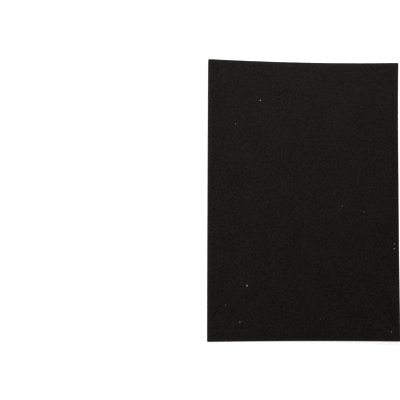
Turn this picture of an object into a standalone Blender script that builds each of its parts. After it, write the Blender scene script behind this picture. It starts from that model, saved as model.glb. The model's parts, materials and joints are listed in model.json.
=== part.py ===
# A sheet of black craft foam, lying face up on a level floor.
#
# The sheet is one piece of closed-cell foam, cut from a larger sheet by a knife that comes down
# from above. It lies flat in its middle, and its four corners curl up a little.
# Units are metres. X runs across the sheet, Y along it, and Z up through its thickness.
# The origin is on the floor, under the middle of the sheet.

import math

import bmesh
import bpy
from mathutils import Vector

# The cut size of the sheet
SHEET_WIDTH = 0.200
SHEET_LENGTH = 0.290
SHEET_THICKNESS = 0.002

# The knife presses the upper edge down before it cuts, so that edge is rolled over,
# while the lower edge stays nearly sharp
UPPER_EDGE_ROLL = 0.0009
LOWER_EDGE_ROLL = 0.0002
CORNER_RADIUS = 0.0012
ROLL_SEGMENTS = 4
LOWER_SEGMENTS = 1
CORNER_SEGMENTS = 4

# How far the cut wanders inwards at the middle of the far edge and of the near edge
FAR_EDGE_BOW = 0.0012
NEAR_EDGE_BOW = 0.0005

# Each corner curls up by its lift, beyond a fold line that crosses the corner at its reach
FAR_LEFT_LIFT = 0.0020
FAR_RIGHT_LIFT = 0.0030
NEAR_RIGHT_LIFT = 0.0030
NEAR_LEFT_LIFT = 0.0015
FAR_LEFT_REACH = 0.070
FAR_RIGHT_REACH = 0.065
NEAR_RIGHT_REACH = 0.080
NEAR_LEFT_REACH = 0.070

# The longest side of a facet, short enough for the curled corners to look smooth
FACET_PITCH = 0.010

FOAM_COLOUR = (0.0122, 0.0112, 0.0100, 1.0)
FOAM_ROUGHNESS = 0.9
SMOOTH_ANGLE = math.radians(40)
SAME_PLACE = 1e-6


def clear_scene():
    for obj in list(bpy.data.objects):
        bpy.data.objects.remove(obj, do_unlink=True)


def foam_material():
    material = bpy.data.materials.new("black_craft_foam")
    material.use_nodes = True
    shader = material.node_tree.nodes["Principled BSDF"]
    shader.inputs["Base Color"].default_value = FOAM_COLOUR
    shader.inputs["Roughness"].default_value = FOAM_ROUGHNESS
    shader.inputs["Metallic"].default_value = 0.0
    return material


def sheet_blank():
    """A plain block of the sheet's size, standing on the floor."""
    bm = bmesh.new()
    bmesh.ops.create_cube(bm, size=1.0)
    bmesh.ops.scale(bm, vec=(SHEET_WIDTH, SHEET_LENGTH, SHEET_THICKNESS), verts=bm.verts)
    bmesh.ops.translate(bm, vec=(0, 0, SHEET_THICKNESS / 2), verts=bm.verts)
    return bm


def bevel(bm, edges, width, segments):
    bmesh.ops.bevel(
        bm,
        geom=edges,
        offset=width,
        offset_type="OFFSET",
        segments=segments,
        profile=0.5,
        affect="EDGES",
        clamp_overlap=True,
    )


def round_corners(bm):
    upright = [edge for edge in bm.edges if abs(edge.verts[0].co.z - edge.verts[1].co.z) > SAME_PLACE]
    bevel(bm, upright, CORNER_RADIUS, CORNER_SEGMENTS)


def rim(bm, height):
    """The edges round the face that lies at this height."""
    return [edge for edge in bm.edges if all(abs(v.co.z - height) < SAME_PLACE for v in edge.verts)]


def roll_edges(bm):
    most = SHEET_THICKNESS / 2
    bevel(bm, rim(bm, SHEET_THICKNESS), min(UPPER_EDGE_ROLL, CORNER_RADIUS, most), ROLL_SEGMENTS)
    bevel(bm, rim(bm, 0.0), min(LOWER_EDGE_ROLL, CORNER_RADIUS, most), LOWER_SEGMENTS)


def slice_across(bm, axis, length):
    """Cuts the faces at even steps along one axis, so that they can bend there."""
    steps = math.ceil(length / FACET_PITCH)
    for step in range(1, steps):
        place = Vector((0, 0, 0))
        place[axis] = length * (step / steps - 0.5)
        normal = Vector((0, 0, 0))
        normal[axis] = 1
        geometry = bm.verts[:] + bm.edges[:] + bm.faces[:]
        bmesh.ops.bisect_plane(bm, geom=geometry, dist=SAME_PLACE, plane_co=place, plane_no=normal)


def cut_line(point):
    """Moves a point inwards as far as the cut wanders at the end that it lies towards."""
    across = point.x / (SHEET_WIDTH / 2)
    along = point.y / (SHEET_LENGTH / 2)
    bow = FAR_EDGE_BOW if along > 0 else NEAR_EDGE_BOW
    return -along * bow * (1 - across**2)


def corner_lift(point):
    """How far the curled corners raise a point of the sheet above the floor."""
    corners = (
        (-1, 1, FAR_LEFT_LIFT, FAR_LEFT_REACH),
        (1, 1, FAR_RIGHT_LIFT, FAR_RIGHT_REACH),
        (1, -1, NEAR_RIGHT_LIFT, NEAR_RIGHT_REACH),
        (-1, -1, NEAR_LEFT_LIFT, NEAR_LEFT_REACH),
    )
    raised = 0.0
    for side, end, lift, reach in corners:
        outwards = Vector((side, end)).normalized()
        corner = Vector((side * SHEET_WIDTH / 2, end * SHEET_LENGTH / 2))
        beyond_fold = reach - outwards.dot(corner - point.xy)
        raised += lift * (max(0.0, beyond_fold) / reach) ** 2
    return raised


def shape_sheet(bm):
    for vert in bm.verts:
        inwards = cut_line(vert.co)
        raised = corner_lift(vert.co)
        vert.co.y += inwards
        vert.co.z += raised


def foam_sheet(collection):
    bm = sheet_blank()
    round_corners(bm)
    roll_edges(bm)
    slice_across(bm, 0, SHEET_WIDTH)
    slice_across(bm, 1, SHEET_LENGTH)
    shape_sheet(bm)
    mesh = bpy.data.meshes.new("foam_sheet")
    bm.to_mesh(mesh)
    bm.free()
    mesh.shade_smooth()
    mesh.set_sharp_from_angle(angle=SMOOTH_ANGLE)
    mesh.materials.append(foam_material())
    sheet = bpy.data.objects.new("foam_sheet", mesh)
    collection.objects.link(sheet)
    return sheet


def main():
    clear_scene()
    collection = bpy.data.collections.new("craft_foam_sheet")
    bpy.context.scene.collection.children.link(collection)
    foam_sheet(collection)


main()
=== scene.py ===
# %% [markdown]
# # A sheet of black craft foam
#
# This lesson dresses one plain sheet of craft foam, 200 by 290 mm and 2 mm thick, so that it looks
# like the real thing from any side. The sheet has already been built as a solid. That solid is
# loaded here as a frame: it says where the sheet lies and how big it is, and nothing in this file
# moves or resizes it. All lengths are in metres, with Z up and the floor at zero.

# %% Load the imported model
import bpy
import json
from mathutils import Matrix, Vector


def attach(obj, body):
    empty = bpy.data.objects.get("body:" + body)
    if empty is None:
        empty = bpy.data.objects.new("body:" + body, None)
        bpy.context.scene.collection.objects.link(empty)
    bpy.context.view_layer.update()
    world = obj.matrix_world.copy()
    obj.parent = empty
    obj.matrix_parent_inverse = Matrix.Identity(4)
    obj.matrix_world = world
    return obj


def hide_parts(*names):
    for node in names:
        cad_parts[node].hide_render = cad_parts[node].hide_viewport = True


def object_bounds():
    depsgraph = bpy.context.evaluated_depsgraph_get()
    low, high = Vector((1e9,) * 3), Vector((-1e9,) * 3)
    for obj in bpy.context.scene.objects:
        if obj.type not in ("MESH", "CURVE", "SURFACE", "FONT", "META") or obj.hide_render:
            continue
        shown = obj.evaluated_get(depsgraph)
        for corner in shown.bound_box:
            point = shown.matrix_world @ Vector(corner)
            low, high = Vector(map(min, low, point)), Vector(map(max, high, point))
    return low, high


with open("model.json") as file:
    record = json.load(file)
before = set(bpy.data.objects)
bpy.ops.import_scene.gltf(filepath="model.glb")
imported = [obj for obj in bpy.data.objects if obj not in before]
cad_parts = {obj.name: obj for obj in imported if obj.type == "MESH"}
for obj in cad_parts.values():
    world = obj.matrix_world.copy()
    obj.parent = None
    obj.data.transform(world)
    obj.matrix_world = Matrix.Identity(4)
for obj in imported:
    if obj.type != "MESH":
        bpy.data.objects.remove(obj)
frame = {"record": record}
cad_low, cad_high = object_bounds()

MM = 0.001

print("CAD box, mm:", [round(size / MM, 2) for size in cad_high - cad_low])

# %% [markdown]
# ## The sizes that everything else follows
#
# A sheet of foam has three sizes of its own, and all three can be read off the frame. The width and
# length are the box of the solid, rounded to a tenth of a millimetre. The height of that box would
# be wrong for the thickness, because the corners curl up, so the thickness is the way from the face
# that the sheet rests on to the face that shows.

# %% Read the sheet's sizes off the frame
import json
import math

import bmesh
import bpy
from mathutils import Matrix, Vector, noise
from mathutils.bvhtree import BVHTree

METRE_DECIMALS = 4

mounts = {mount["name"]: mount["pos_m"] for mount in frame["record"]["mounts"]}
sheet_width = round(cad_high.x - cad_low.x, METRE_DECIMALS)
sheet_length = round(cad_high.y - cad_low.y, METRE_DECIMALS)
sheet_thickness = mounts["upper_face"][2] - mounts["underside"][2]
print("sheet, mm:", [round(size / MM, 2) for size in (sheet_width, sheet_length, sheet_thickness)])

# %% [markdown]
# ## The blank: a grid with thickness
#
# The real sheet is split off a block of foam as a flat leaf and then cut to size. A plain box has
# the right outline, but it has no points in its middle that could bend or hold a dent. So the blank
# starts as a fine grid, which is pulled up once to give it thickness. The pitch of the grid decides
# the smallest dent that the mesh can hold, and the finest grain is left to the material.

# %% Pull a fine grid up into a blank
GRID_PITCH = 1.25 * MM


def cells_along(length):
    return round(length / GRID_PITCH)


bm = bmesh.new()
bmesh.ops.create_grid(
    bm,
    x_segments=cells_along(sheet_width),
    y_segments=cells_along(sheet_length),
    size=1.0,
)
bmesh.ops.scale(bm, vec=(sheet_width / 2, sheet_length / 2, 1.0), verts=bm.verts)
pulled = bmesh.ops.extrude_face_region(bm, geom=bm.faces[:])["geom"]
upper_points = [part for part in pulled if isinstance(part, bmesh.types.BMVert)]
bmesh.ops.translate(bm, vec=(0, 0, sheet_thickness), verts=upper_points)
bmesh.ops.recalc_face_normals(bm, faces=bm.faces)
print("blank:", len(bm.faces), "faces,", round(bm.calc_volume() / MM**3), "cubic mm")

# %% [markdown]
# ## The cut edge
#
# A guillotine cuts the sheet from above. Its blade presses the soft foam down before it bites, so
# the upper edge springs back rolled over, the lower edge stays nearly sharp, and the four corners
# lose their points. A bevel modifier would round all three alike, so each gets a bevel of its own
# width. The edges to bevel are found by their height and by the angle between their faces, which
# picks out the rim and leaves the flat grid alone.

# %% Round the corners and roll the edges
CORNER_RADIUS = 1.2 * MM
UPPER_EDGE_ROLL = 0.9 * MM
LOWER_EDGE_ROLL = 0.2 * MM
CORNER_STEPS = 4
UPPER_STEPS = 5
LOWER_STEPS = 2
ROUND_PROFILE = 0.5
SHARP_ANGLE = math.radians(60)
SAME_PLACE = 0.001 * MM


def bevel(edges, width, steps):
    bmesh.ops.bevel(
        bm,
        geom=edges,
        offset=width,
        offset_type="OFFSET",
        segments=steps,
        profile=ROUND_PROFILE,
        affect="EDGES",
        clamp_overlap=True,
    )


def height_of(edge):
    return abs(edge.verts[0].co.z - edge.verts[1].co.z)


def corners():
    """The sharp edges that stand upright."""
    upright = [edge for edge in bm.edges if height_of(edge) > SAME_PLACE]
    return [edge for edge in upright if edge.calc_face_angle() > SHARP_ANGLE]


def rim(height):
    """The sharp edges that lie at this height."""
    level = [
        edge for edge in bm.edges
        if all(abs(end.co.z - height) < SAME_PLACE for end in edge.verts)
    ]
    return [edge for edge in level if edge.calc_face_angle() > SHARP_ANGLE]


bevel(corners(), CORNER_RADIUS, CORNER_STEPS)
bevel(rim(sheet_thickness), UPPER_EDGE_ROLL, UPPER_STEPS)
bevel(rim(0.0), LOWER_EDGE_ROLL, LOWER_STEPS)
print("with its edges:", len(bm.faces), "faces")

# %% [markdown]
# ## Rows of points up the cut wall
#
# Between the two rolled edges the wall is still one face high. The blade leaves shallow drag marks
# there, and they need points to sit on. Subdividing the whole mesh would add points everywhere.
# Cutting only the tallest edges, which are the upright ones of the wall, adds rows to the wall and
# to nothing else.

# %% Add rows to the wall
WALL_ROWS = 2

tallest = max(height_of(edge) for edge in bm.edges)
wall_edges = [edge for edge in bm.edges if height_of(edge) > tallest - SAME_PLACE]
bmesh.ops.subdivide_edges(bm, edges=wall_edges, cuts=WALL_ROWS, use_grid_fill=True)
print("wall:", len(wall_edges), "columns of", WALL_ROWS + 1, "faces")
print("each column, mm:", round(tallest / MM, 2))

# %% [markdown]
# ## Points in an order of their own
#
# A bevel numbers its new points in an order that can change from run to run. What comes next is kept
# in lists with one number for each point, so the points are first put in order by where they lie.
# Sorting them by how far they are from one place would leave ties, because a rectangle has many
# points that are equally far from its middle. Sorting by all three coordinates leaves none.

# %% Number the points by where they lie
for number, vert in enumerate(sorted(bm.verts, key=lambda vert: vert.co[:])):
    vert.index = number
bm.verts.sort()
print("first point, mm:", [round(along / MM, 2) for along in min(vert.co[:] for vert in bm.verts)])

# %% [markdown]
# ## What each point is part of
#
# Skin and cut foam don't look alike. The splitting blade leaves a fine and even skin, while the cut
# wall is torn open and dull. Foam also wears soonest at its cuts, where hands and boxes rub it, and
# the rolled edges there catch the light, so a paler band along the cuts is painted in: partly wear
# and partly a painted highlight. So two shares are kept for each point. One says how much it faces
# sideways, which is 1 on the wall and 0 on the skin. The other falls from 1 on the nearest cut to 0
# at a chosen reach, and sets that band of wear and painted highlight. Both are measured now, while
# the sheet is still a true rectangle and its cuts are easy to describe.

# %% Measure each point against the wall and the cuts
WEAR_AND_HIGHLIGHT_REACH = 6.0 * MM


def nearness_to_cut(point, reach):
    """Falls from 1 on the nearest cut to 0 at this reach, ever more slowly."""
    inwards = min(sheet_width / 2 - abs(point.x), sheet_length / 2 - abs(point.y))
    return max(0.0, 1 - inwards / reach) ** 2


bm.normal_update()
wall_share = [1.0 - abs(vert.normal.z) for vert in bm.verts]
# This share sets where the paler band of wear and painted highlight lies along the cuts
wear_and_highlight_per_point = [nearness_to_cut(vert.co, WEAR_AND_HIGHLIGHT_REACH) for vert in bm.verts]
print("points near a cut:", sum(share > 0 for share in wear_and_highlight_per_point), "of", len(bm.verts))

# %% [markdown]
# ## Relief that the hand can feel
#
# A foam block is full of bubbles of unequal size, so the splitting blade leaves its skin faintly
# uneven, in humps and ripples of a few millimetres. A displacement modifier could do this from a
# texture, but a loop says more plainly what happens: each point sinks a little way along its own
# normal. Sinking rather than rising keeps the sheet inside the box of its solid. The humps fade out
# over the rolled edge, and on the wall the same rule makes the drag marks, long and upright,
# because there the noise is stretched along Z. Last, the upper face drops a little towards every
# cut, because the blade has pressed the cells there for good.

# %% Sink every point by the foam's relief
HUMP_SIZE = 6.0 * MM
HUMP_DEPTH = 0.08 * MM
RIPPLE_SIZE = 3.0 * MM
RIPPLE_DEPTH = 0.06 * MM
DRAG_SIZE = Vector((1.9 * MM, 1.9 * MM, 7.0 * MM))
DRAG_DEPTH = 0.05 * MM
SHOULDER_WIDTH = 8.0 * MM
SHOULDER_DROP = 0.16 * MM


def unevenness(point, size):
    """Smooth noise between 0 and 1, with humps of this size."""
    return (1 + noise.noise(point / size)) / 2


def drag_marks(point):
    """Smooth noise between 0 and 1, drawn out along Z."""
    stretched = Vector(along / size for along, size in zip(point, DRAG_SIZE))
    return (1 + noise.noise(stretched)) / 2


for vert, sideways in zip(bm.verts, wall_share):
    humps = HUMP_DEPTH * unevenness(vert.co, HUMP_SIZE)
    ripples = RIPPLE_DEPTH * unevenness(vert.co, RIPPLE_SIZE)
    drags = DRAG_DEPTH * drag_marks(vert.co)
    depth = (1 - sideways) ** 2 * (humps + ripples) + sideways * drags
    share_of_height = vert.co.z / sheet_thickness
    shoulder = SHOULDER_DROP * nearness_to_cut(vert.co, SHOULDER_WIDTH) * share_of_height
    vert.co -= depth * vert.normal
    vert.co.z -= shoulder
print("relief: up to", round((HUMP_DEPTH + RIPPLE_DEPTH) / MM, 2), "mm deep in the skin")

# %% [markdown]
# ## The cut that wanders and the corners that curl
#
# The two short cuts aren't quite straight, and each corner has curled up by a few millimetres, the
# far and near right ones most. Dragging the corners up with a lattice would look the same, but the
# solid has these bows and curls too. They are repeated here as the same rules with the same values,
# so that the dressed sheet lies inside the solid it stands for.

# %% Bow the cuts and curl the corners
FAR_EDGE_BOW = 1.2 * MM
NEAR_EDGE_BOW = 0.5 * MM
CORNERS = {
    "far left": {"side": -1, "end": 1, "lift": 2.0 * MM, "reach": 70 * MM},
    "far right": {"side": 1, "end": 1, "lift": 3.0 * MM, "reach": 65 * MM},
    "near right": {"side": 1, "end": -1, "lift": 3.0 * MM, "reach": 80 * MM},
    "near left": {"side": -1, "end": -1, "lift": 1.5 * MM, "reach": 70 * MM},
}


def cut_line(point):
    """How far the bowed cuts move a point along the sheet."""
    across = point.x / (sheet_width / 2)
    along = point.y / (sheet_length / 2)
    bow = FAR_EDGE_BOW if along > 0 else NEAR_EDGE_BOW
    return -along * bow * (1 - across**2)


def corner_lift(point):
    """How far the curled corners raise a point above the floor."""
    raised = 0.0
    for corner in CORNERS.values():
        outwards = Vector((corner["side"], corner["end"])).normalized()
        tip = Vector((corner["side"] * sheet_width / 2, corner["end"] * sheet_length / 2))
        beyond_fold = corner["reach"] - outwards.dot(tip - point.xy)
        raised += corner["lift"] * (max(0.0, beyond_fold) / corner["reach"]) ** 2
    return raised


for vert in bm.verts:
    shift = Vector((0.0, cut_line(vert.co), corner_lift(vert.co)))
    vert.co += shift
print("highest point, mm:", round(max(vert.co.z for vert in bm.verts) / MM, 2))

# %% [markdown]
# ## From mesh to piece
#
# The edited mesh becomes one object. It takes the place of the plain solid, which stays hidden for
# the physics, and it rides on the sheet's only body. Foam is springy all through and has no cover to
# sag. The two shares of each point are stored with the mesh, so that the material can tell cut foam
# from skin, and the band of wear and painted highlight along the cuts from the rest.
# They could be painted by hand as vertex colours, but stored numbers stay exact. A bevel lists its
# edges and faces too in an order that can change from run to run, so both are sorted first.

# %% Make the sheet an object
SMOOTH_ANGLE = math.radians(40)


def order_of(part):
    """A number of each edge's or face's own, from its lowest-numbered point and the next."""
    around = [vert.index for vert in part.verts]
    lowest = around.index(min(around))
    following = around[(lowest + 1) % len(around)]
    return around[lowest] * len(bm.verts) + following


def finished_mesh(name, edited):
    """Turns an edited mesh into one that an object can hold."""
    made = bpy.data.meshes.new(name)
    edited.to_mesh(made)
    edited.free()
    return made


def add_object(name, data):
    """Makes an object of a mesh, a lamp or a camera, and puts it in the scene."""
    made = bpy.data.objects.new(name, data)
    bpy.context.scene.collection.objects.link(made)
    return made


bm.edges.sort(key=order_of)
bm.faces.sort(key=order_of)
mesh = finished_mesh("craft_foam_sheet", bm)
mesh.shade_smooth()
mesh.set_sharp_from_angle(angle=SMOOTH_ANGLE)
# The second stored share carries the band of wear and painted highlight along the cuts
for name, shares in (("cut_wall", wall_share), ("worn_and_highlit_rim", wear_and_highlight_per_point)):
    stored = mesh.attributes.new(name, "FLOAT", "POINT")
    stored.data.foreach_set("value", shares)

sheet = add_object("craft_foam_sheet", mesh)
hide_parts("foam_sheet")
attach(sheet, "root")
triangles = sum(len(face.vertices) - 2 for face in mesh.polygons)
print("sheet:", len(mesh.vertices), "points,", triangles, "triangles")

# %% [markdown]
# ## Shader maths that reads like maths
#
# A material is a graph of nodes, and made by hand a graph soon fills pages. The class below wraps
# one output socket, so that `1 - mask` or `mask * 0.5` adds the Math node that works it out. Every
# other node comes from one method, which takes its type, its settings, and what goes into it. Two
# nodes are used often enough to have a short name: the mix of two colours, which a Math node would
# turn grey, and the smooth step.

# %% A signal that can be added, multiplied and mixed
# A Mix node has a row of sockets for each kind of data, and these are the ones for colours
MIX_SHARE = 0
MIX_FIRST = 6
MIX_SECOND = 7
MIX_RESULT = 2


class Signal:
    """What one output socket of a material's nodes gives."""

    def __init__(self, tree, socket=None):
        self.tree = tree
        self.socket = socket

    def node(self, kind, settings, inputs, output=0):
        """Adds a node, sets it, and then gives its sockets their values or links."""
        made = self.tree.nodes.new(kind)
        for name, setting in settings.items():
            setattr(made, name, setting)
        for name, value in inputs.items():
            if isinstance(value, Signal):
                self.tree.links.new(value.socket, made.inputs[name])
            else:
                made.inputs[name].default_value = value
        return Signal(self.tree, made.outputs[output])

    def mix(self, first, second):
        """The first colour where this signal is 0, and the second where it is 1."""
        sockets = {MIX_SHARE: self, MIX_FIRST: first, MIX_SECOND: second}
        return self.node("ShaderNodeMix", {"data_type": "RGBA"}, sockets, MIX_RESULT)

    def smooth_step(self, low, high):
        """Rises from 0 to 1 as this signal goes from low to high."""
        limits = {"Value": self, "From Min": low, "From Max": high}
        return self.node("ShaderNodeMapRange", {"interpolation_type": "SMOOTHSTEP"}, limits)

    def maths(self, operation, first, second):
        return self.node("ShaderNodeMath", {"operation": operation}, {0: first, 1: second})

    def __add__(self, other):
        return self.maths("ADD", self, other)

    def __radd__(self, other):
        return self.maths("ADD", other, self)

    def __sub__(self, other):
        return self.maths("SUBTRACT", self, other)

    def __rsub__(self, other):
        return self.maths("SUBTRACT", other, self)

    def __mul__(self, other):
        return self.maths("MULTIPLY", self, other)

    def __rmul__(self, other):
        return self.maths("MULTIPLY", other, self)


# %% Start a finish, and feed its shader
def new_finish(name):
    """A new material and its shader node."""
    material = bpy.data.materials.new(name)
    material.use_nodes = True
    return material, material.node_tree.nodes["Principled BSDF"]


def places_on(material):
    """Where each point lies on its piece, which is what a pattern starts from."""
    return Signal(material.node_tree).node("ShaderNodeTexCoord", {}, {}, "Object")


def noise_of(places, size, detail, roughness):
    """A noise between 0 and 1 whose blotches have this size."""
    inputs = {"Vector": places, "Scale": 1 / size, "Detail": detail, "Roughness": roughness}
    return places.node("ShaderNodeTexNoise", {}, inputs)


def feed(shader, name, signal):
    signal.tree.links.new(signal.socket, shader.inputs[name])


# %% [markdown]
# ## The finish: black closed-cell foam
#
# The inside of craft foam is packed with bubbles, and the splitting blade slices through them. A
# bubble cut at its middle leaves a wide pit, and one that is only nicked leaves a pinhole. A
# Voronoi texture in three dimensions gives just this: each cell has a centre, and a surface that
# passes within a bubble's radius of a centre slices that bubble. Bubbles come in unlike sizes, so
# there are two such textures. From further off the pits melt into a matte black with a soft mottle
# a few millimetres wide. Three noises of unlike size make it: mottle, finer grain and wide, weak
# clouds.

# %% Textures of the foam
BUBBLE_PITCH = 0.30 * MM
PINHOLE_PITCH = 0.16 * MM
MOTTLE_SIZE = 2.2 * MM
MOTTLE_DETAIL = 3.0
GRAIN_SIZE = 1.0 * MM
GRAIN_DETAIL = 2.0
CLOUD_SIZE = 25.0 * MM
CLOUD_DETAIL = 1.0
BLOTCH_ROUGHNESS = 0.6
# How far from its centre a bubble is deepest and where it ends, as shares of the pitch
BUBBLE_CORE = 0.08
BUBBLE_RIM = 0.48

foam, foam_shader = new_finish("black_craft_foam")
places = places_on(foam)


def sliced_bubbles(pitch):
    """Rises from 0 on the land between the bubbles to 1 in the middle of each sliced one."""
    inputs = {"Vector": places, "Scale": 1 / pitch}
    from_centre = places.node("ShaderNodeTexVoronoi", {}, inputs, "Distance")
    return 1 - from_centre.smooth_step(BUBBLE_CORE, BUBBLE_RIM)


def stored_share(name):
    """One of the shares that are stored with the mesh."""
    return places.node("ShaderNodeAttribute", {"attribute_name": name}, {}, "Fac")


mottle = noise_of(places, MOTTLE_SIZE, MOTTLE_DETAIL, BLOTCH_ROUGHNESS)
grain = noise_of(places, GRAIN_SIZE, GRAIN_DETAIL, BLOTCH_ROUGHNESS)
clouds = noise_of(places, CLOUD_SIZE, CLOUD_DETAIL, BLOTCH_ROUGHNESS)
pit = sliced_bubbles(BUBBLE_PITCH)
pinhole = sliced_bubbles(PINHOLE_PITCH)
wall = stored_share("cut_wall")
wear_and_highlight_band = stored_share("worn_and_highlit_rim")
print("bubbles, mm:", [round(pitch / MM, 2) for pitch in (BUBBLE_PITCH, PINHOLE_PITCH)])

# %% [markdown]
# ### Colour
#
# Black foam is coloured with soot all through, so it has no coat of paint that could chip, and real
# black foam still sends back about one part in a hundred of the light. The noises hover round one
# half, so their sum is stretched between two limits before it mixes the two blacks. Pits get a
# little painted shade. Along the cuts the colour is painted paler, unevenly: partly wear from
# handling and partly a painted highlight where the rolled edges catch the light, so the mottle has a
# part in that too. A mask painted into an image could do it, but the stored share follows the cuts
# by itself.

# %% Colour of the foam
DARK_FOAM = (0.0052, 0.0049, 0.0043, 1.0)
LIGHT_FOAM = (0.0172, 0.0163, 0.0148, 1.0)
# Paler colour for the band along the cuts: partly wear, partly a painted highlight
WORN_AND_HIGHLIT_FOAM = (0.034, 0.0325, 0.030, 1.0)
MOTTLE_PART = 0.54
GRAIN_PART = 0.38
CLOUD_PART = 0.08
DARK_BELOW = 0.38
LIGHT_ABOVE = 0.62
PIT_SHADE = 0.22
WEAR_AND_HIGHLIGHT_STRENGTH = 0.36
EVEN_WEAR_AND_HIGHLIGHT = 0.5

blotches = MOTTLE_PART * mottle + GRAIN_PART * grain + CLOUD_PART * clouds
# The pits are darkened in the colour: painted shade
tone = blotches.smooth_step(DARK_BELOW, LIGHT_ABOVE) * (1 - PIT_SHADE * pit)
# Wear and painted highlight along the cuts, mixed over the blacks
wear_and_highlight_mix = WEAR_AND_HIGHLIGHT_STRENGTH * wear_and_highlight_band * (EVEN_WEAR_AND_HIGHLIGHT + mottle)
colour = wear_and_highlight_mix.mix(tone.mix(DARK_FOAM, LIGHT_FOAM), WORN_AND_HIGHLIT_FOAM)
feed(foam_shader, "Base Color", colour)
print("blacks, as shares of the light:", DARK_FOAM[0], "to", LIGHT_FOAM[0])

# %% [markdown]
# ### Sheen and relief
#
# Much of what the eye sees of black foam is a weak, broad sheen. The specular level is low and the
# same all over, so it is set on the shader itself. Pits and cut foam scatter light, so they are
# rougher than the land between the pits. The bubbles are too small for the mesh, and a bump gives
# them their depth. Its heights are real lengths, so its distance stays at one metre. Bubbles on the
# cut wall are torn open and gape deeper than those on the skin.

# %% Sheen and relief of the foam
FOAM_SPECULAR = 0.08
LAND_ROUGHNESS = 0.60
MOTTLE_ROUGHENS = 0.10
PIT_ROUGHENS = 0.10
CUT_ROUGHENS = 0.10
PIT_DEPTH = 0.022 * MM
CUT_PIT_DEPTH = 0.05 * MM
PINHOLE_DEPTH = 0.010 * MM
GRAIN_HEIGHT = 0.012 * MM

roughness = LAND_ROUGHNESS + MOTTLE_ROUGHENS * mottle + PIT_ROUGHENS * pit + CUT_ROUGHENS * wall
pit_depth = PIT_DEPTH + (CUT_PIT_DEPTH - PIT_DEPTH) * wall
height = GRAIN_HEIGHT * grain - PINHOLE_DEPTH * pinhole - pit_depth * pit
relief = height.node("ShaderNodeBump", {}, {"Strength": 1.0, "Distance": 1.0, "Height": height})

foam_shader.inputs["Specular IOR Level"].default_value = FOAM_SPECULAR
feed(foam_shader, "Roughness", roughness)
feed(foam_shader, "Normal", relief)
sheet.data.materials.append(foam)
print("foam finish:", len(foam.node_tree.nodes), "nodes")

# %% [markdown]
# ## Specks of dust
#
# Black foam charges itself when it is handled and pulls in pale dust. The real sheet carries about
# a dozen specks that catch the eye. They could be dots in the material, but a dot has no height and
# smears in a low view. So each speck is a crumb: a small ball, squashed to the speck's length and
# width, pulled out of shape by noise, and set down where a ray from above meets the foam. The list
# gives each one's place on the sheet and its size in millimetres, and its turn in degrees.

# %% Where the specks lie
SPECKS = (
    {"across": -45.5, "along": 103.0, "long": 1.3, "wide": 1.0, "turn": 45},
    {"across": -71.5, "along": 78.0, "long": 0.7, "wide": 0.6, "turn": -50},
    {"across": -38.5, "along": -2.5, "long": 0.7, "wide": 0.4, "turn": 70},
    {"across": 40.0, "along": -5.5, "long": 0.9, "wide": 0.5, "turn": 85},
    {"across": 63.0, "along": -11.5, "long": 0.7, "wide": 0.6, "turn": 0},
    {"across": 95.0, "along": -44.5, "long": 1.1, "wide": 0.7, "turn": 5},
    {"across": 95.0, "along": -49.5, "long": 1.1, "wide": 0.8, "turn": 80},
    {"across": -59.0, "along": -88.0, "long": 2.0, "wide": 1.1, "turn": 70},
    {"across": -81.0, "along": -107.5, "long": 0.7, "wide": 0.6, "turn": 25},
    {"across": 17.0, "along": -122.5, "long": 0.5, "wide": 0.4, "turn": 35},
    {"across": -66.5, "along": -125.0, "long": 1.0, "wide": 0.8, "turn": 60},
    {"across": -36.0, "along": -128.5, "long": 0.5, "wide": 0.4, "turn": 65},
    {"across": 90.5, "along": -135.0, "long": 1.1, "wide": 0.5, "turn": 90},
)
print("specks:", len(SPECKS), "up to", max(speck["long"] for speck in SPECKS), "mm long")

# %% Set the crumbs down on the foam
BALL_SUBDIVISIONS = 3
BALL_RADIUS = 0.5
LUMPINESS = 0.45
LUMP_PITCH = 0.5
CRUMB_FLATNESS = 0.3
SUNK_SHARE = 0.25
RAY_START = 50 * MM
UP = Vector((0, 0, 1))

foam_surface = BVHTree.FromPolygons(
    [vert.co for vert in mesh.vertices],
    [face.vertices for face in mesh.polygons],
)
dust_bm = bmesh.new()


def lumpy_ball(index):
    """A ball one unit wide, pulled out of shape in a way of its own, ready to be squashed."""
    ball = bmesh.ops.create_icosphere(dust_bm, subdivisions=BALL_SUBDIVISIONS, radius=BALL_RADIUS)
    for vert in ball["verts"]:
        vert.co *= 1.0 + LUMPINESS * noise.noise(vert.co / LUMP_PITCH + Vector((index, 0, 0)))
    return ball["verts"]


def add_crumb(index, across, along, long, wide, turn):
    """Adds one crumb of this length and width, lying on the foam at this place."""
    spot, normal, _, _ = foam_surface.ray_cast(Vector((across, along, RAY_START)), -UP)
    tall = CRUMB_FLATNESS * wide
    rise = normal * tall * (BALL_RADIUS - SUNK_SHARE)
    lie = UP.rotation_difference(normal).to_matrix().to_4x4()
    place = Matrix.Translation(spot + rise) @ lie @ Matrix.Rotation(math.radians(turn), 4, "Z")
    squash = Matrix.Diagonal((long, wide, tall, 1.0))
    bmesh.ops.transform(dust_bm, matrix=place @ squash, verts=lumpy_ball(index))


for index, speck in enumerate(SPECKS):
    lengths = [speck[name] * MM for name in ("across", "along", "long", "wide")]
    add_crumb(index, *lengths, speck["turn"])
print("crumbs:", len(dust_bm.faces), "faces")

# %% Make the dust one piece
dust_mesh = finished_mesh("dust_specks", dust_bm)
dust_mesh.shade_smooth()
dust = add_object("dust_specks", dust_mesh)
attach(dust, "root")
print("dust, mm:", [round(size / MM) for size in dust.dimensions])

# %% [markdown]
# ## The finish of the dust
#
# The crumbs are paper fibre and lint, pale grey and dull. One flat grey would make all thirteen
# alike, so a noise as fine as a fibre mixes two greys, and the paler lint is also the rougher.

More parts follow.
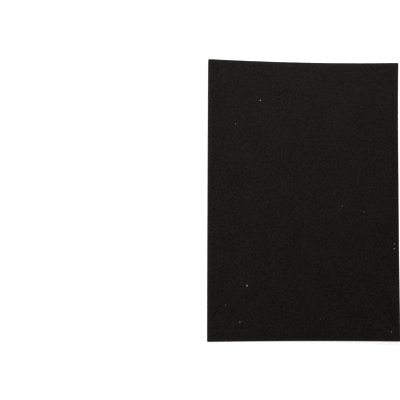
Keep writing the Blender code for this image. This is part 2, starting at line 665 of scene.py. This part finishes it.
# %% Give the dust a pale, dull finish
GREY_DUST = (0.20, 0.19, 0.175, 1.0)
PALE_DUST = (0.42, 0.41, 0.39, 1.0)
DUST_SPECULAR = 0.2
DUST_ROUGHNESS = 0.75
LINT_ROUGHENS = 0.2
LINT_SIZE = 0.2 * MM
LINT_DETAIL = 2.0
LINT_ROUGHNESS = 0.5

pale, pale_shader = new_finish("pale_dust")
lint = noise_of(places_on(pale), LINT_SIZE, LINT_DETAIL, LINT_ROUGHNESS)
feed(pale_shader, "Base Color", lint.mix(GREY_DUST, PALE_DUST))
feed(pale_shader, "Roughness", DUST_ROUGHNESS + LINT_ROUGHENS * lint)
pale_shader.inputs["Specular IOR Level"].default_value = DUST_SPECULAR
dust.data.materials.append(pale)
print("dust finish:", len(pale.node_tree.nodes), "nodes")

# %% [markdown]
# ## The studio: a white table
#
# The photograph's ground is pure white, and the sheet throws no shadow on it. Lamps alone can do
# that only by being so strong that the edge of a black sheet looks ragged. A light table does it
# better: pale paper lit softly from below is evenly white and has no dark horizon. So the floor is
# paper with a glow of its own, and it reaches far beyond the sheet, so that no view shows where it
# ends. It lies a hair below the sheet, because two faces in one place would flicker.

# %% Lay the pale floor
FLOOR_SIZE = 12.0
FLOOR_DROP = 0.05 * MM
PAPER_COLOUR = (0.5, 0.5, 0.5, 1.0)
PAPER_ROUGHNESS = 0.9
PAPER_GLOW = 0.75
WHITE = (1.0, 1.0, 1.0, 1.0)

floor_bm = bmesh.new()
bmesh.ops.create_grid(floor_bm, x_segments=1, y_segments=1, size=FLOOR_SIZE / 2)
floor = add_object("studio_floor", finished_mesh("studio_floor", floor_bm))
floor.location.z = -FLOOR_DROP

paper, paper_shader = new_finish("pale_paper")
paper_shader.inputs["Base Color"].default_value = PAPER_COLOUR
paper_shader.inputs["Roughness"].default_value = PAPER_ROUGHNESS
paper_shader.inputs["Emission Color"].default_value = WHITE
paper_shader.inputs["Emission Strength"].default_value = PAPER_GLOW
floor.data.materials.append(paper)
print("floor:", FLOOR_SIZE, "m wide,", round(FLOOR_DROP / MM, 2), "mm below the sheet")

# %% [markdown]
# ## Soft light from two sides
#
# Black foam is seen by its sheen, so the lights are placed by what they do to it. The sheet is
# lightest at its far end and darkest at its near right corner. A softbox beyond the far end gives
# the first, and one on the left, a little towards the viewer, gives the second. Both hang high,
# because a low lamp would turn the foam white in low views. A long, weak strip low on the left
# draws a thin light line along the rolled left edge. One sun lamp would be simpler, but its light
# is as strong at one end of the sheet as at the other.

# %% Hang the lights
LAMP_COLOUR = (1.0, 0.985, 0.95)
SOFTBOXES = {
    "far_softbox": {
        "place": Vector((0.12, 0.72, 0.6)),
        "aim": Vector((0.0, 0.0, 0.0)),
        "width": 0.45,
        "height": 0.45,
        "watts": 11.3,
    },
    "left_softbox": {
        "place": Vector((-0.7, -0.22, 0.6)),
        "aim": Vector((0.0, 0.0, 0.0)),
        "width": 0.45,
        "height": 0.45,
        "watts": 5.6,
    },
    "left_strip": {
        "place": Vector((-0.9, 0.05, 0.2)),
        "aim": Vector((-0.1, 0.0, 0.0)),
        "width": 1.0,
        "height": 0.15,
        "watts": 3.5,
    },
}


def hang_softbox(name, place, aim, width, height, watts):
    """Hangs a soft lamp that the camera itself doesn't see."""
    light = bpy.data.lights.new(name, "AREA")
    light.shape = "RECTANGLE"
    light.size = width
    light.size_y = height
    light.energy = watts
    light.color = LAMP_COLOUR
    lamp = add_object(name, light)
    lamp.location = place
    lamp.rotation_euler = (aim - place).to_track_quat("-Z", "Y").to_euler()
    lamp.visible_camera = False


for name, softbox in SOFTBOXES.items():
    hang_softbox(name, **softbox)
all_watts = sum(softbox["watts"] for softbox in SOFTBOXES.values())
print("lamps:", len(SOFTBOXES), "of", round(all_watts, 1), "W in all")

# %% [markdown]
# ## What lies beyond the table
#
# In low views the camera looks past the end of the floor. The world there should look like the
# paper, but a world that bright would wash the black foam out from all round. So it has two
# strengths. What the camera sees directly is nearly as bright as the paper, and what reaches the
# foam is only the faint light of a dim room.

# %% Surround the table with pale light
BACKDROP_STRENGTH = 0.767
AMBIENT_STRENGTH = 0.03

world = bpy.data.worlds.new("studio_light")
world.use_nodes = True
sky = world.node_tree.nodes["Background"]
seen = Signal(world.node_tree).node("ShaderNodeLightPath", {}, {}, "Is Camera Ray")
feed(sky, "Strength", AMBIENT_STRENGTH + (BACKDROP_STRENGTH - AMBIENT_STRENGTH) * seen)
sky.inputs["Color"].default_value = WHITE
bpy.context.scene.world = world
print("world:", BACKDROP_STRENGTH, "for the eye,", AMBIENT_STRENGTH, "for the foam")

# %% [markdown]
# ## The camera
#
# The photograph looks down on the sheet from about a metre up, from its left and a little nearer
# than its middle. A camera could be moved by hand until the picture looks right, but four corners
# of a sheet of known size settle it better: only one place and one aim put all four where the
# photograph has them. The long lens is a usual one for such pictures, and keeps the sides of the
# sheet nearly parallel. The roll, a quarter of a degree, is how far the camera was off level.

# %% Set the camera up
CAMERA_PLACE = Vector((-0.1948, -0.06375, 1.0186))
CAMERA_AIM = Vector((-0.1075, -0.00065, 0.0))
CAMERA_ROLL = math.radians(0.246)
CAMERA_LENS = 90.0
SENSOR_WIDTH = 36.0
NEAREST_SEEN = 0.05
FURTHEST_SEEN = 100.0


def looking_down(place, aim, roll):
    """Where a camera stands that looks down at a point, with the sheet's far end at the top."""
    forwards = (aim - place).normalized()
    right = forwards.cross(Vector((0, 1, 0))).normalized()
    up = right.cross(forwards)
    turn = Matrix((right, up, -forwards)).transposed().to_4x4()
    return Matrix.Translation(place) @ turn @ Matrix.Rotation(roll, 4, "Z")


camera = add_object("camera", bpy.data.cameras.new("camera"))
camera.data.lens = CAMERA_LENS
camera.data.sensor_width = SENSOR_WIDTH
camera.data.clip_start = NEAREST_SEEN
camera.data.clip_end = FURTHEST_SEEN
camera.matrix_world = looking_down(CAMERA_PLACE, CAMERA_AIM, CAMERA_ROLL)
bpy.context.scene.camera = camera
print("camera:", round((CAMERA_AIM - CAMERA_PLACE).length, 2), "m from where it aims")

# %% [markdown]
# ## The print
#
# The foam keeps the colour of real black foam, but the photograph shows it darker than that, most
# likely because its picture was given more contrast. Darker foam could match it, but would be wrong
# in any other light. So the picture alone is darkened, by a gamma a little below one. The Standard
# transform adds no film's curve of its own, which keeps the paper white.

# %% Set the picture's contrast
PRINT_GAMMA = 0.85

bpy.context.scene.view_settings.view_transform = "Standard"
bpy.context.scene.view_settings.gamma = PRINT_GAMMA
print("gamma of the picture:", PRINT_GAMMA)
